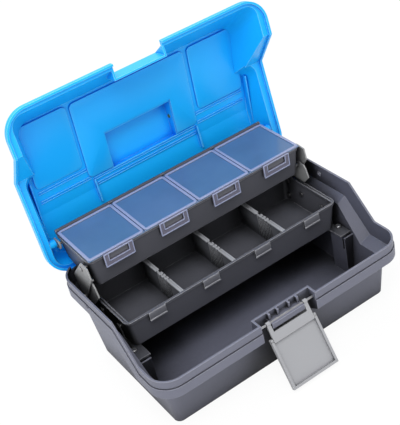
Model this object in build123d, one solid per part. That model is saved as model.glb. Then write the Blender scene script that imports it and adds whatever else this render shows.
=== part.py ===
from build123d import *
import math
import os

# Tackle box with two lift-out trays, in millimetres, drawn with its lid open.
# X runs to the right, Y to the back and Z up from the middle of the base's underside.

# base tub
rim_half_x = 175.0
rim_half_y = 108.5
rim_corner = 28.0
rim_side_reach = 19.5
rim_front_reach = 22.8
floor_half_x = rim_half_x - rim_side_reach
floor_half_y = rim_half_y - rim_front_reach
floor_corner = 8.0
tub_draft = 5.5
tub_wall = 2.5
tub_floor = 2.6
tub_corner = 14.0
front_rim_z = 84.0
rear_rim_z = 123.5
slope_from_front = 48.5
slope_front_y = slope_from_front - rim_half_y
slope_length = 41.0
slope_rear_y = slope_front_y + slope_length
rim_slope = math.atan2(rear_rim_z - front_rim_z, slope_length)
band_wall = 3.4
band_straight = 24.0
band_slope = 10.0
groove_below_rim = 9.5
groove_height = 1.6
groove_depth = 1.9
rim_step = 1.1
side_hole_from_rear = 70.5
side_hole_y = rim_half_y - side_hole_from_rear
side_hole_below_rim = 12.0
side_hole_radius = 3.3
rear_relief_from_side = 16.5
rear_relief_half_x = rim_half_x - rear_relief_from_side
rear_relief_depth = 5.3

# latch pocket in the front of the band
pocket_half_x = 38.7
pocket_depth = 14.8
pocket_back_y = pocket_depth - rim_half_y
pocket_wall = 2.5
shelf_half_x = 23.0
shelf_setback = 2.5
shelf_front_y = shelf_setback - rim_half_y
shelf_top_below_rim = 8.0
shelf_thickness = 7.0
gusset_inner_x = 8.0
gusset_outer_x = 20.2
gusset_thickness = 2.4
gusset_reach = 4.5

# latch frame and flap
frame_pivot_setback = 7.0
frame_pivot_y = frame_pivot_setback - rim_half_y
frame_pivot_below_rim = 8.5
flap_side_gap = 6.2
flap_half_x = pocket_half_x - flap_side_gap
frame_inset = 3.5
frame_half_x = flap_half_x - frame_inset
frame_arm_width = 5.0
frame_thickness = 3.0
frame_length = 23.0
crossbar_height = 12.0
latch_hang_angle = 60.0
flap_start = 17.6
flap_length = 64.0
flap_plate = 2.0
flap_rim_height = 5.0
flap_rim_width = 3.0
flap_hinge_along = 21.0
latch_pin_radius = 1.5

# lid, given as closed
lid_open_angle = 100.3
hinge_inset = 0.3
hinge_y = rim_half_y - hinge_inset
hinge_below_rim = 9.0
lid_gap = 0.3
lid_overhang = 3.5
lid_skirt_gap = 0.6
lid_skirt_depth = 3.8
lid_flange = 3.0
lid_wall = 2.5
lid_rim_side_inset = 7.0
lid_rim_inner_x = rim_half_x - lid_rim_side_inset
lid_rim_front_inset = 4.0
lid_rim_front_y = lid_rim_front_inset - rim_half_y
lid_rim_rear_inset = 3.9
lid_rim_rear_y = rim_half_y - lid_rim_rear_inset
lid_side_draft = 20.0
lid_front_draft = 29.0
lid_rear_draft = 4.0
lid_step_gap = 3.0
lid_step_y = slope_rear_y - lid_step_gap
lid_corner = 16.0
ceiling_front_inset = 30.5
ceiling_front_y = ceiling_front_inset - rim_half_y
ceiling_front_height = 48.5
ceiling_front_z = front_rim_z + ceiling_front_height
ceiling_slope = 10.3
ceiling_flat_length = 63.5
ceiling_flat_y = rim_half_y - ceiling_flat_length
lid_cutout_gap = 0.8
lid_cutout_half_x = flap_half_x + lid_cutout_gap
hump_half_x = 47.5
hump_from_rear = 126.3
hump_front_y = rim_half_y - hump_from_rear
hump_length = 49.8
hump_rear_y = hump_front_y + hump_length
hump_height = 13.0
lid_rib_from_hump = 29.5
lid_rib_x = hump_half_x + lid_rib_from_hump
lid_rib_front_y = hump_rear_y
lid_rib_length = 31.0
lid_rib_rear_y = lid_rib_front_y + lid_rib_length
lid_rib_depth = 3.5
lid_rib_thickness = 1.6

# hinge between lid and base
hinge_from_side = 70.0
hinge_centre_x = rim_half_x - hinge_from_side
lid_knuckle_half = 7.7
base_knuckle_length = 10.0
knuckle_gap = 0.3
knuckle_radius = 3.6
hinge_pin_radius = 1.5
hinge_pin_overhang = 1.5

# carrying handle on the lid
handle_pivot_from_hump = 23.0
handle_pivot_y = hump_front_y + handle_pivot_from_hump
handle_pivot_rise = 9.0
handle_reach = 47.0
handle_rise = 11.0
handle_arm_gap = 1.0
handle_arm_width = 6.0
handle_arm_height = 9.0
handle_grip_radius = 6.5
handle_pin_radius = 2.5

# trays
tray_side_gap = 20.0
tray_half_x = rim_half_x - tray_side_gap
lower_tray_depth = 104.0
upper_tray_depth = 84.0
tray_height = 39.5
tray_draft_inset = 5.0
tray_corner = 7.0
tray_wall = 2.0
tray_floor = 2.0
tray_bead_height = 3.0
tray_bead_overhang = 0.9
side_rim_width = 4.8
side_rim_lip = 1.3
side_rim_groove = 1.2
lower_tray_setback = 95.7
lower_tray_front_y = lower_tray_setback - rim_half_y
lower_tray_z = 62.0
tray_stagger = 60.9
upper_tray_front_y = lower_tray_front_y + tray_stagger
tray_rise = 56.0
upper_tray_z = lower_tray_z + tray_rise
upper_floor_level_depth = 51.9
upper_floor_rise_y = upper_tray_front_y + upper_floor_level_depth
upper_floor_rise = 15.5
outer_bay_extra = 4.2
divider_x = (tray_half_x - outer_bay_extra) / 2
divider_thickness = 1.6
divider_gap = 0.3
divider_below_rim = 2.0
catch_offset = 0.3
catch_inner_x = divider_x / 2 + catch_offset
catch_outer_x = 3 * catch_inner_x
catch_width = 22.5
catch_reach = 1.5
catch_under_tab_reach = 0.4
catch_height = 12.0
catch_under_tab_height = 7.5

# small lids of the upper tray
small_lid_thickness = 1.6
small_lid_gap = 0.1
small_lid_seam = 0.8
small_lid_edge = 1.0
tab_width = 40.0
tab_height = 18.5
tab_window_width = 26.5
tab_window_height = 8.7
tab_window_below_top = 2.0
tab_thickness = 1.8
tab_gap = 0.3
small_hinge_from_rear = 1.5
small_hinge_above_rim = 2.5
small_barrel_radius = 2.1
small_pin_radius = 0.9
small_post_width = 4.0
small_post_gap = 0.3

# lower links, which carry the lower tray on the base
lower_link_length = 34.0
lower_link_swing = 16.4
lower_pivot_front = 24.8
lower_pivot_spacing = 40.0
lower_pivot_above_floor = 22.0
lower_link_inset = 1.1
lower_link_inner_x = tray_half_x - lower_link_inset
lower_link_thickness = 1.7
lower_link_half_width = 5.0

# upper links, which carry the upper tray on the lower one
outer_top_from_front = 13.9
outer_top_y = upper_tray_front_y + outer_top_from_front
outer_top_height = 27.0
outer_top_z = upper_tray_z + outer_top_height
outer_foot_from_front = 92.3
outer_foot_y = lower_tray_front_y + outer_foot_from_front
outer_foot_height = 31.0
outer_foot_z = lower_tray_z + outer_foot_height
pair_offset_y = 1.4
pair_offset_z = 21.5
inner_plate_gap = 1.0
inner_plate_x = tray_half_x + inner_plate_gap
plate_thickness = 1.7
outer_plate_gap = 0.4
outer_plate_x = inner_plate_x + plate_thickness + outer_plate_gap

# lid link
tray_pivot_from_front = 73.9
tray_pivot_height = 30.0
tray_pivot_y = upper_tray_front_y + tray_pivot_from_front
tray_pivot_z = upper_tray_z + tray_pivot_height
lid_pivot_behind = 8.0
lid_pivot_below = 2.0
lid_pivot_y = tray_pivot_y + lid_pivot_behind
lid_pivot_z = tray_pivot_z - lid_pivot_below
lid_link_gap = 1.2
lid_link_x = tray_half_x + lid_link_gap
lid_link_thickness = 2.0
lid_link_length = 7.35
lid_link_angle = 175.1
lid_link_edge = 2.2
lid_link_play = 1.65
lid_boss_radius = 5.0

# pins of all links
pin_radius = 2.0
pin_clearance = 0.05
pin_head_radius = 3.0
pin_head = 1.0
pin_side_gap = 0.2
pin_wall_gap = 0.8

# side brackets and their towers in the tub
bracket_inner_inset = 12.3
bracket_inner_x = tray_half_x - bracket_inner_inset
bracket_outer_reach = 3.7
bracket_outer_x = tray_half_x + bracket_outer_reach
bracket_ahead_of_tray = 16.2
bracket_front_y = lower_tray_front_y - bracket_ahead_of_tray
foot_length = 22.4
foot_rear_y = bracket_front_y + foot_length
bracket_length = 83.0
bracket_rear_y = bracket_front_y + bracket_length
bracket_plate = 2.2
bracket_tray_gap = 0.3
web_link_gap = 0.6
web_outer_x = lower_link_inner_x - web_link_gap
web_thickness = 2.0
web_height = 17.0
web_from_foot = 1.0
web_front_y = foot_rear_y + web_from_foot
web_length = 53.0
web_rear_y = web_front_y + web_length
tower_ahead = 5.0
tower_front_y = bracket_front_y - tower_ahead
tower_slot = 3.0
tower_slot_depth = 18.0
front_tower_length = 27.0
front_tower_rear_y = tower_front_y + front_tower_length
rear_tower_overlap = 2.5
rear_tower_front_y = bracket_rear_y - rear_tower_overlap
screw_from_edge = 4.4
screw_x = bracket_outer_x - screw_from_edge
screw_from_front = 17.6
screw_y = bracket_front_y + screw_from_front
screw_head_radius = 3.6
screw_head = 2.2
screw_shank_radius = 1.5
screw_length = 12.0

hinge_z = rear_rim_z - hinge_below_rim
big = 600.0


def block(x0, x1, y0, y1, z0, z1):
    return Pos((x0 + x1) / 2, (y0 + y1) / 2, (z0 + z1) / 2) * Box(x1 - x0, y1 - y0, z1 - z0)


def both_sides(shape):
    return [shape, mirror(shape, about=Plane.YZ)]


def level_section(half_x, front_y, rear_y, z, corner):
    middle = Pos(0, (front_y + rear_y) / 2, z)
    return middle * RectangleRounded(2 * half_x, rear_y - front_y, corner)


def tapered(lower, upper):
    return loft([level_section(*lower), level_section(*upper)])


def side_prism(points, half_x=big):
    face = make_face(Polyline(*[(0, y, z) for y, z in points], close=True))
    return extrude(face, amount=half_x, dir=(1, 0, 0), both=True)


def under_rim(offset, bottom=-big):
    return side_prism([
        (-big, bottom),
        (-big, front_rim_z + offset),
        (slope_front_y, front_rim_z + offset),
        (slope_rear_y, rear_rim_z + offset),
        (big, rear_rim_z + offset),
        (big, bottom),
    ])


def rod(x0, x1, y, z, radius):
    return Pos((x0 + x1) / 2, y, z) * Rot(0, 90, 0) * Cylinder(radius, abs(x1 - x0))


def plate_between(x0, x1, points):
    face = make_face(Polyline(*[(x0, y, z) for y, z in points], close=True))
    return extrude(face, amount=x1 - x0, dir=(1, 0, 0))


def save(name, shape):
    pieces = shape if isinstance(shape, list) else [shape]
    solids = [solid for piece in pieces for solid in piece.solids()]
    export_step(Compound(children=solids), os.path.join("parts", name + ".step"))


os.makedirs("parts", exist_ok=True)

# base tub: drafted main wall, and a wider band that follows the stepped rim
draft = math.tan(math.radians(tub_draft))


def wall_x(z):
    return floor_half_x + draft * z


def wall_y(z):
    return floor_half_y + draft * z


def tub_section(z, inset=0.0):
    corner = floor_corner + (tub_corner - floor_corner) * z / rear_rim_z
    return (wall_x(z) - inset, -wall_y(z) + inset, wall_y(z) - inset, z, max(corner - inset, 1.0))


def band_block(inset, lowest, highest):
    section = level_section(
        rim_half_x - inset, -rim_half_y + inset, rim_half_y - inset, lowest, rim_corner - inset
    )
    return extrude(section, amount=highest - lowest)


def rim_corner_place(corner_y, corner_z, depth):
    """Where the line that halves a rim corner is, at this depth square to the rim."""
    return corner_y + depth * math.tan(rim_slope / 2), corner_z - depth


def corner_face(corner_y, corner_z, inset, rise):
    deep = band_straight + band_slope
    low_y, low_z = rim_corner_place(corner_y, corner_z, deep)
    wide = rim_half_x - inset
    narrow = wall_x(corner_z - deep) - inset
    edge = []
    for half_x, depth in ((wide, -rise), (wide, band_straight), (narrow, deep)):
        y, z = rim_corner_place(corner_y, corner_z, depth)
        edge.append((half_x, y, z))
    other_edge = [(-x, y, z) for x, y, z in reversed(edge)]
    return make_face(Polyline(*edge, *other_edge, close=True))


def side_of_corner(corner_y, corner_z, outer_y):
    high_y, high_z = rim_corner_place(corner_y, corner_z, -big)
    low_y, low_z = rim_corner_place(corner_y, corner_z, big)
    return side_prism([(outer_y, high_z), (high_y, high_z), (low_y, low_z), (outer_y, low_z)])


def band_body(inset, rise):
    deep = band_straight + band_slope
    body = loft([
        corner_face(slope_front_y, front_rim_z, inset, rise),
        corner_face(slope_rear_y, rear_rim_z, inset, rise),
    ], ruled=True)
    for corner_y, rim_z, outer_y in (
        (slope_front_y, front_rim_z, -2 * big), (slope_rear_y, rear_rim_z, 2 * big),
    ):
        low = rim_z - deep
        shoulder = low + band_slope
        narrow = tub_section(low, inset)
        wide = (rim_half_x - inset, -rim_half_y + inset, rim_half_y - inset, shoulder, rim_corner - inset)
        level_part = tapered(narrow, wide) + band_block(inset, shoulder, rim_z + rise)
        body += level_part & side_of_corner(corner_y, rim_z, outer_y)
    return body


tub_outside = tapered(tub_section(0.0), tub_section(rear_rim_z)) + band_body(0.0, 0.0)
tub_outside &= under_rim(0.0)
cavity = tapered(tub_section(tub_floor, tub_wall), tub_section(rear_rim_z + 1.0, tub_wall))
pocket_keep = block(
    -pocket_half_x - pocket_wall, pocket_half_x + pocket_wall, -big, pocket_back_y + pocket_wall, -big, big
)
tub = tub_outside - cavity - (band_body(band_wall, 1.0) - pocket_keep)
for depth, low, high in (
    (groove_depth, -groove_below_rim - groove_height, -groove_below_rim),
    (rim_step, -groove_below_rim, 1.0),
):
    ring = band_block(-1.0, tub_floor, rear_rim_z + 1.0) - band_block(depth, tub_floor, rear_rim_z + 1.0)
    tub -= (ring & under_rim(high)) - under_rim(low)
tub -= block(-pocket_half_x, pocket_half_x, -big, pocket_back_y, 0.0, big)
for centre_x in (-rim_half_x, rim_half_x):
    side_hole_z = rear_rim_z - side_hole_below_rim
    tub -= rod(centre_x - 20, centre_x + 20, side_hole_y, side_hole_z, side_hole_radius)

tub -= block(
    -rear_relief_half_x, rear_relief_half_x, rim_half_y / 2, big, rear_rim_z - rear_relief_depth, big
)

shelf_top_z = front_rim_z - shelf_top_below_rim
tub += block(
    -shelf_half_x, shelf_half_x, shelf_front_y, pocket_back_y + pocket_wall / 2,
    shelf_top_z - shelf_thickness, shelf_top_z,
)
for gusset_x in (-gusset_outer_x, -gusset_inner_x, gusset_inner_x, gusset_outer_x):
    tub += block(
        gusset_x - gusset_thickness / 2, gusset_x + gusset_thickness / 2,
        pocket_back_y - gusset_reach, pocket_back_y + pocket_wall / 2, shelf_top_z - 1.0, front_rim_z,
    )

# towers that carry the side brackets
bracket_top_z = lower_tray_z - bracket_tray_gap
bracket_low_z = bracket_top_z - bracket_plate
tower_top_z = bracket_low_z


def tower(front_y, rear_y, inner_x):
    column = block(inner_x, rim_half_x, front_y, rear_y, tub_floor / 2, tower_top_z)
    return column & tapered(tub_section(0.0, tub_wall / 2), tub_section(rear_rim_z, tub_wall / 2))


front_tower = tower(tower_front_y, front_tower_rear_y, bracket_inner_x + 2.0)
front_tower -= block(
    0, big, bracket_front_y - tower_slot, bracket_front_y, tower_top_z - tower_slot_depth, big
)
screw_hole = Pos(screw_x, screw_y, tower_top_z - screw_length / 2) * Cylinder(
    screw_shank_radius + pin_clearance, screw_length + 4.0
)
front_tower -= screw_hole
rear_tower = tower(rear_tower_front_y, bracket_rear_y, bracket_inner_x)
for side_tower in both_sides(front_tower) + both_sides(rear_tower):
    tub += side_tower

# hinge knuckles on the tub's rear, with a notch for each knuckle of the lid
for side in (-1, 1):
    centre = side * hinge_centre_x
    notch_half = lid_knuckle_half + knuckle_gap
    tub -= rod(centre - notch_half, centre + notch_half, hinge_y, hinge_z, knuckle_radius + 1.0)
    tub -= block(
        centre - notch_half, centre + notch_half, hinge_y - knuckle_radius - 1.0, big, hinge_z, big
    )
    for start in (centre - notch_half - base_knuckle_length, centre + notch_half):
        tub += rod(start, start + base_knuckle_length, hinge_y, hinge_z, knuckle_radius)
    reach = notch_half + base_knuckle_length + hinge_pin_overhang + 0.5
    tub -= rod(centre - reach, centre + reach, hinge_y, hinge_z, hinge_pin_radius + pin_clearance)

# bores of the latch frame's pin through the pocket's ends
frame_pivot_z = front_rim_z - frame_pivot_below_rim
frame_pin_reach = pocket_half_x + pocket_wall
tub -= rod(-frame_pin_reach - 8, frame_pin_reach + 8, frame_pivot_y, frame_pivot_z,
           latch_pin_radius + pin_clearance)
save("base_tub", tub)

# side brackets with their pivot web
lower_pivot_z = lower_tray_z + lower_pivot_above_floor
swing = math.radians(lower_link_swing)
tray_pivots = [
    (lower_tray_front_y + lower_pivot_front + step, lower_pivot_z) for step in (0.0, lower_pivot_spacing)
]
base_pivots = [
    (y - lower_link_length * math.sin(swing), z - lower_link_length * math.cos(swing))
    for y, z in tray_pivots
]
bracket = block(bracket_inner_x, web_outer_x, bracket_front_y, bracket_rear_y, bracket_low_z, bracket_top_z)
bracket += block(web_outer_x, bracket_outer_x, bracket_front_y, foot_rear_y, bracket_low_z, bracket_top_z)
bracket += block(
    web_outer_x - web_thickness, web_outer_x, web_front_y, web_rear_y,
    bracket_top_z - web_height, bracket_top_z,
)
for y, z in base_pivots:
    bracket -= rod(web_outer_x - 8, web_outer_x + 8, y, z, pin_radius + pin_clearance)
bracket -= Pos(screw_x, screw_y, bracket_low_z) * Cylinder(screw_shank_radius + pin_clearance, 20)
bracket_right, bracket_left = both_sides(bracket)
save("bracket_right", bracket_right)
save("bracket_left", bracket_left)

screw = Pos(screw_x, screw_y, bracket_top_z + screw_head / 2) * Cylinder(screw_head_radius, screw_head)
screw = fillet(screw.edges().group_by(Axis.Z)[-1], screw_head * 0.45)
screw += Pos(screw_x, screw_y, bracket_top_z - screw_length / 2) * Cylinder(screw_shank_radius, screw_length)
screw -= block(
    screw_x - screw_head_radius, screw_x + screw_head_radius, screw_y - 0.5, screw_y + 0.5,
    bracket_top_z + screw_head - 0.9, big,
)
save("bracket_screws", both_sides(screw))


def rivet(inner_x, outer_x, y, z, outer_radius=pin_head_radius):
    shank = rod(inner_x, outer_x, y, z, pin_radius)
    inner_head = rod(inner_x - pin_head, inner_x, y, z, pin_head_radius)
    if outer_radius > pin_radius:
        shank += rod(outer_x, outer_x + pin_head, y, z, outer_radius)
    return shank + inner_head


lower_link_outer_x = lower_link_inner_x + lower_link_thickness
base_pins = [
    rivet(web_outer_x - web_thickness - pin_side_gap, lower_link_outer_x + pin_side_gap, y, z)
    for y, z in base_pivots
]
save("base_link_pins", base_pins + [mirror(pin, about=Plane.YZ) for pin in base_pins])


# lower links
def strap(x0, x1, start, end, half_width, radius):
    dy = end[0] - start[0]
    dz = end[1] - start[1]
    length = math.hypot(dy, dz)
    ny = -dz / length * half_width
    nz = dy / length * half_width
    body = plate_between(x0, x1, [
        (start[0] + ny, start[1] + nz), (end[0] + ny, end[1] + nz),
        (end[0] - ny, end[1] - nz), (start[0] - ny, start[1] - nz),
    ])
    for y, z in (start, end):
        body += rod(x0, x1, y, z, half_width)
    for y, z in (start, end):
        body -= rod(x0 - 1, x1 + 1, y, z, radius)
    return body


for place, low, high in zip(("front", "rear"), base_pivots, tray_pivots):
    link = strap(lower_link_inner_x, lower_link_outer_x, low, high, lower_link_half_width,
                 pin_radius + pin_clearance)
    link_right, link_left = both_sides(link)
    save("lower_link_" + place + "_right", link_right)
    save("lower_link_" + place + "_left", link_left)


# trays: the same moulding twice
def tray_outer_x(z_above_floor):
    inner_end = tray_half_x - tray_bead_overhang
    return inner_end - (tray_draft_inset - tray_bead_overhang) * (1 - z_above_floor / tray_height)


def below_floor(start_y, start_z, rise_angle):
    climb = math.tan(math.radians(rise_angle))
    return side_prism([(start_y, start_z), (start_y + big, start_z + big * climb), (start_y + big, 0), (start_y, 0)])


def tray_shell(front_y, base_z, depth):
    inset = tray_draft_inset
    over = tray_bead_overhang
    rear_y = front_y + depth
    outside = tapered(
        (tray_half_x - inset, front_y + inset, rear_y - inset, base_z, tray_corner),
        (tray_half_x - over, front_y + over, rear_y - over, base_z + tray_height, tray_corner),
    )
    bead = level_section(
        tray_half_x, front_y, rear_y, base_z + tray_height - tray_bead_height, tray_corner + over
    )
    outside += extrude(bead, amount=tray_bead_height)
    low = inset + tray_wall
    high = over + tray_wall
    hollow = tapered(
        (tray_half_x - low, front_y + low, rear_y - low, base_z + tray_floor, tray_corner - tray_wall),
        (tray_half_x - high, front_y + high, rear_y - high, base_z + tray_height, tray_corner - tray_wall),
    )
    rim_z = base_z + tray_height
    for rim_piece in both_sides(block(
        tray_half_x - side_rim_width, big, -big, big, rim_z - tray_bead_height, rim_z + 1.0,
    )):
        hollow -= rim_piece
    for rim_groove in both_sides(block(
        tray_half_x - side_rim_width + side_rim_lip, tray_half_x - side_rim_lip,
        front_y + tray_corner + 1.0, rear_y - tray_corner - 1.0, rim_z - side_rim_groove, rim_z + 1.0,
    )):
        outside -= rim_groove
    return outside, hollow


def divider(centre_x, front_y, base_z, depth):
    inset = tray_draft_inset + tray_wall + divider_gap
    high = tray_bead_overhang + tray_wall + divider_gap
    top_z = base_z + tray_height
    shape = plate_between(centre_x - divider_thickness / 2, centre_x + divider_thickness / 2, [
        (front_y + inset, base_z + tray_floor + divider_gap),
        (front_y + depth - inset, base_z + tray_floor + divider_gap),
        (front_y + depth - high, top_z),
        (front_y + high, top_z),
    ])
    return shape & block(-big, big, -big, big, 0, top_z - divider_below_rim)


outside, hollow = tray_shell(lower_tray_front_y, lower_tray_z, lower_tray_depth)
lower_tray = outside - hollow
lower_rim_z = lower_tray_z + tray_height


def add_catches(tray, front_y, reach, low_z, high_z):
    for catch_x in (-catch_outer_x, -catch_inner_x, catch_inner_x, catch_outer_x):
        tray += block(
            catch_x - catch_width / 2, catch_x + catch_width / 2,
            front_y - reach, front_y + tray_bead_overhang + tray_wall, low_z, high_z,
        )
    return tray


lower_tray = add_catches(lower_tray, lower_tray_front_y, catch_reach, lower_rim_z - catch_height, lower_rim_z)

outer_top = (outer_top_y, outer_top_z)
outer_foot = (outer_foot_y, outer_foot_z)
inner_top = (outer_top_y - pair_offset_y, outer_top_z - pair_offset_z)
inner_foot = (outer_foot_y - pair_offset_y, outer_foot_z - pair_offset_z)


def tray_pin(base_z, y, z, link_outer_x, outer_radius=pin_head_radius):
    wall_inside = tray_outer_x(z - base_z) - tray_wall - pin_wall_gap
    if outer_radius == 0.0:
        return rivet(wall_inside, link_outer_x, y, z, 0.0)
    return rivet(wall_inside, link_outer_x + pin_side_gap, y, z, outer_radius)


inner_plate_outer = inner_plate_x + plate_thickness
outer_plate_outer = outer_plate_x + plate_thickness
lower_pins = [tray_pin(lower_tray_z, y, z, lower_link_outer_x, 0.0) for y, z in tray_pivots]
lower_pins.append(tray_pin(lower_tray_z, *inner_foot, inner_plate_outer, 0.0))
lower_pins.append(tray_pin(lower_tray_z, *outer_foot, outer_plate_outer))
upper_pins = [tray_pin(upper_tray_z, *inner_top, inner_plate_outer, 0.0)]
upper_pins.append(tray_pin(upper_tray_z, *outer_top, outer_plate_outer))
lid_link_outer = lid_link_x + lid_link_thickness
play_radius = pin_radius + lid_link_play
upper_pins.append(tray_pin(upper_tray_z, tray_pivot_y, tray_pivot_z, lid_link_outer, 0.0))


def cut_pin_holes(tray, holes):
    for y, z in holes:
        for side in (-1, 1):
            tray -= rod(side * (tray_half_x - 12), side * (tray_half_x + 5), y, z, pin_radius + pin_clearance)
    return tray


lower_tray = cut_pin_holes(lower_tray, tray_pivots + [inner_foot, outer_foot])
save("lower_tray", lower_tray)
save("lower_tray_pins", lower_pins + [mirror(pin, about=Plane.YZ) for pin in lower_pins])
for name, centre_x in (("left", -divider_x), ("middle", 0.0), ("right", divider_x)):
    save("lower_divider_" + name, divider(centre_x, lower_tray_front_y, lower_tray_z, lower_tray_depth))
    upper = divider(centre_x, upper_tray_front_y, upper_tray_z, upper_tray_depth)
    upper -= below_floor(upper_floor_rise_y, upper_tray_z + tray_floor + divider_gap, upper_floor_rise)
    save("upper_divider_" + name, upper)

# upper tray with the posts of its small lids' hinge pin
upper_rim_z = upper_tray_z + tray_height
upper_rear_y = upper_tray_front_y + upper_tray_depth
small_hinge_y = upper_rear_y - small_hinge_from_rear
small_hinge_z = upper_rim_z + small_hinge_above_rim
outside, hollow = tray_shell(upper_tray_front_y, upper_tray_z, upper_tray_depth)
outside -= below_floor(upper_floor_rise_y, upper_tray_z, upper_floor_rise)
hollow -= below_floor(upper_floor_rise_y, upper_tray_z + tray_floor, upper_floor_rise)
upper_tray = outside - hollow
upper_tray = add_catches(upper_tray, upper_tray_front_y, catch_under_tab_reach,
                         upper_rim_z - 1.0 - catch_under_tab_height, upper_rim_z - 1.0)
upper_tray = cut_pin_holes(upper_tray, [inner_top, outer_top, (tray_pivot_y, tray_pivot_z)])
lid_span = 2 * (tray_half_x - small_lid_edge) / 4
post_centres = [(number - 2) * lid_span for number in range(5)]
post_centres[0] += small_post_width / 2
post_centres[4] -= small_post_width / 2
for centre_x in post_centres:
    low_x = centre_x - small_post_width / 2
    high_x = centre_x + small_post_width / 2
    post = block(
        low_x, high_x, small_hinge_y - small_barrel_radius, small_hinge_y + small_barrel_radius - 0.7,
        upper_rim_z - tray_bead_height / 2, small_hinge_z,
    )
    post += rod(low_x, high_x, small_hinge_y, small_hinge_z, small_barrel_radius)
    upper_tray += post
upper_tray -= rod(-tray_half_x, tray_half_x, small_hinge_y, small_hinge_z, small_pin_radius + pin_clearance)
save("upper_tray", upper_tray)
save("upper_tray_pins", upper_pins + [mirror(pin, about=Plane.YZ) for pin in upper_pins])
save("tray_lid_pin", rod(-tray_half_x + small_lid_edge, tray_half_x - small_lid_edge,
                         small_hinge_y, small_hinge_z, small_pin_radius))

lid_low_z = upper_rim_z + small_lid_gap
lid_high_z = lid_low_z + small_lid_thickness
tab_outer_y = upper_tray_front_y - tab_gap - tab_thickness
for number in range(4):
    low_x = (number - 2) * lid_span + small_lid_seam / 2
    high_x = (number - 1) * lid_span - small_lid_seam / 2
    middle_x = (low_x + high_x) / 2
    plate_rear_y = small_hinge_y - small_barrel_radius - 0.4
    small_lid = block(low_x, high_x, upper_tray_front_y, plate_rear_y, lid_low_z, lid_high_z)
    small_lid += block(
        middle_x - tab_width / 2, middle_x + tab_width / 2, tab_outer_y, upper_tray_front_y + 2.0,
        lid_low_z, lid_high_z,
    )
    small_lid += block(
        middle_x - tab_width / 2, middle_x + tab_width / 2, tab_outer_y, tab_outer_y + tab_thickness,
        lid_high_z - tab_height, lid_high_z,
    )
    window_top_z = lid_high_z - tab_window_below_top
    small_lid -= block(
        middle_x - tab_window_width / 2, middle_x + tab_window_width / 2, tab_outer_y - 1.0,
        tab_outer_y + tab_thickness + tab_gap / 2, window_top_z - tab_window_height, window_top_z,
    )
    barrel_low = (number - 2) * lid_span + small_post_width / 2 + small_post_gap
    barrel_high = (number - 1) * lid_span - small_post_width / 2 - small_post_gap
    if number == 0:
        barrel_low += small_post_width / 2
    if number == 3:
        barrel_high -= small_post_width / 2
    small_lid += rod(barrel_low, barrel_high, small_hinge_y, small_hinge_z, small_barrel_radius)
    small_lid += block(
        barrel_low, barrel_high, plate_rear_y - 1.0, small_hinge_y, lid_low_z + 0.2, lid_high_z + 0.4
    )
    small_lid -= rod(-tray_half_x, tray_half_x, small_hinge_y, small_hinge_z, small_pin_radius + pin_clearance)
    save("tray_lid_" + str(number + 1), small_lid)


# upper link plates: kite-shaped, drawn about their foot pivots
def kite(x0, x1, top, foot, outline):
    body = plate_between(x0, x1, [(foot[0] + y, foot[1] + z) for y, z in outline])
    for y, z in (top, foot):
        body -= rod(x0 - 1, x1 + 1, y, z, pin_radius + pin_clearance)
    return body


span_y = outer_top_y - outer_foot_y
span_z = outer_top_z - outer_foot_z
outer_outline = [
    (span_y - 19.5, span_z - 6.7), (span_y - 16.5, span_z + 8.0), (span_y - 1.2, span_z + 9.0),
    (14.6, 26.4), (5.3, 3.6), (4.0, -4.5), (0.0, -6.0), (-3.5, -3.5),
]
inner_outline = [
    (span_y - 16.0, span_z + 0.5), (span_y - 12.5, span_z + 5.0), (span_y - 2.0, span_z + 6.5),
    (span_y + 5.2, span_z + 1.8), (5.2, 1.8), (4.5, -3.5), (0.0, -5.8), (-5.0, -3.0),
    (-17.5, 18.0), (span_y - 20.0, span_z - 11.8),
]
outer_plate = kite(outer_plate_x, outer_plate_outer, outer_top, outer_foot, outer_outline)
inner_plate = kite(inner_plate_x, inner_plate_outer, inner_top, inner_foot, inner_outline)
for name, plate in (("outer", outer_plate), ("inner", inner_plate)):
    plate_right, plate_left = both_sides(plate)
    save("upper_link_" + name + "_right", plate_right)
    save("upper_link_" + name + "_left", plate_left)

# latch frame and flap, drawn hanging in one plane through the frame's pivot
hang = math.radians(latch_hang_angle)
latch_plane = Plane(
    origin=(0, frame_pivot_y, frame_pivot_z),
    x_dir=(1, 0, 0),
    z_dir=(0, -math.sin(hang), math.cos(hang)),
)


def latch_block(x0, x1, along0, along1, out0, out1):
    centre = Pos((x0 + x1) / 2, -(along0 + along1) / 2, (out0 + out1) / 2)
    return latch_plane * centre * Box(x1 - x0, along1 - along0, out1 - out0)


def latch_rod(x0, x1, along, out, radius):
    place = Pos((x0 + x1) / 2, -along, out) * Rot(0, 90, 0)
    return latch_plane * place * Cylinder(radius, x1 - x0)


half_frame = frame_thickness / 2
latch_frame = latch_block(-frame_half_x, frame_half_x, frame_length - crossbar_height, frame_length,
                          -half_frame, half_frame)
for side in (-1, 1):
    arm_mid = side * (frame_half_x - frame_arm_width / 2)
    arm_low = arm_mid - frame_arm_width / 2
    arm_high = arm_mid + frame_arm_width / 2
    latch_frame += latch_block(arm_low, arm_high, 0.0, frame_length - 1.0, -half_frame, half_frame)
    latch_frame += latch_rod(arm_low, arm_high, 0.0, 0.0, half_frame + 1.3)
latch_frame -= latch_rod(-frame_half_x - 1, frame_half_x + 1, 0.0, 0.0, latch_pin_radius + pin_clearance)
latch_frame -= latch_rod(-frame_half_x - 1, frame_half_x + 1, flap_hinge_along, 0.0,
                         latch_pin_radius - 0.4 + pin_clearance)
save("latch_frame", latch_frame)
save("latch_frame_pin", rod(-frame_pin_reach, frame_pin_reach, frame_pivot_y, frame_pivot_z, latch_pin_radius))

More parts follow.
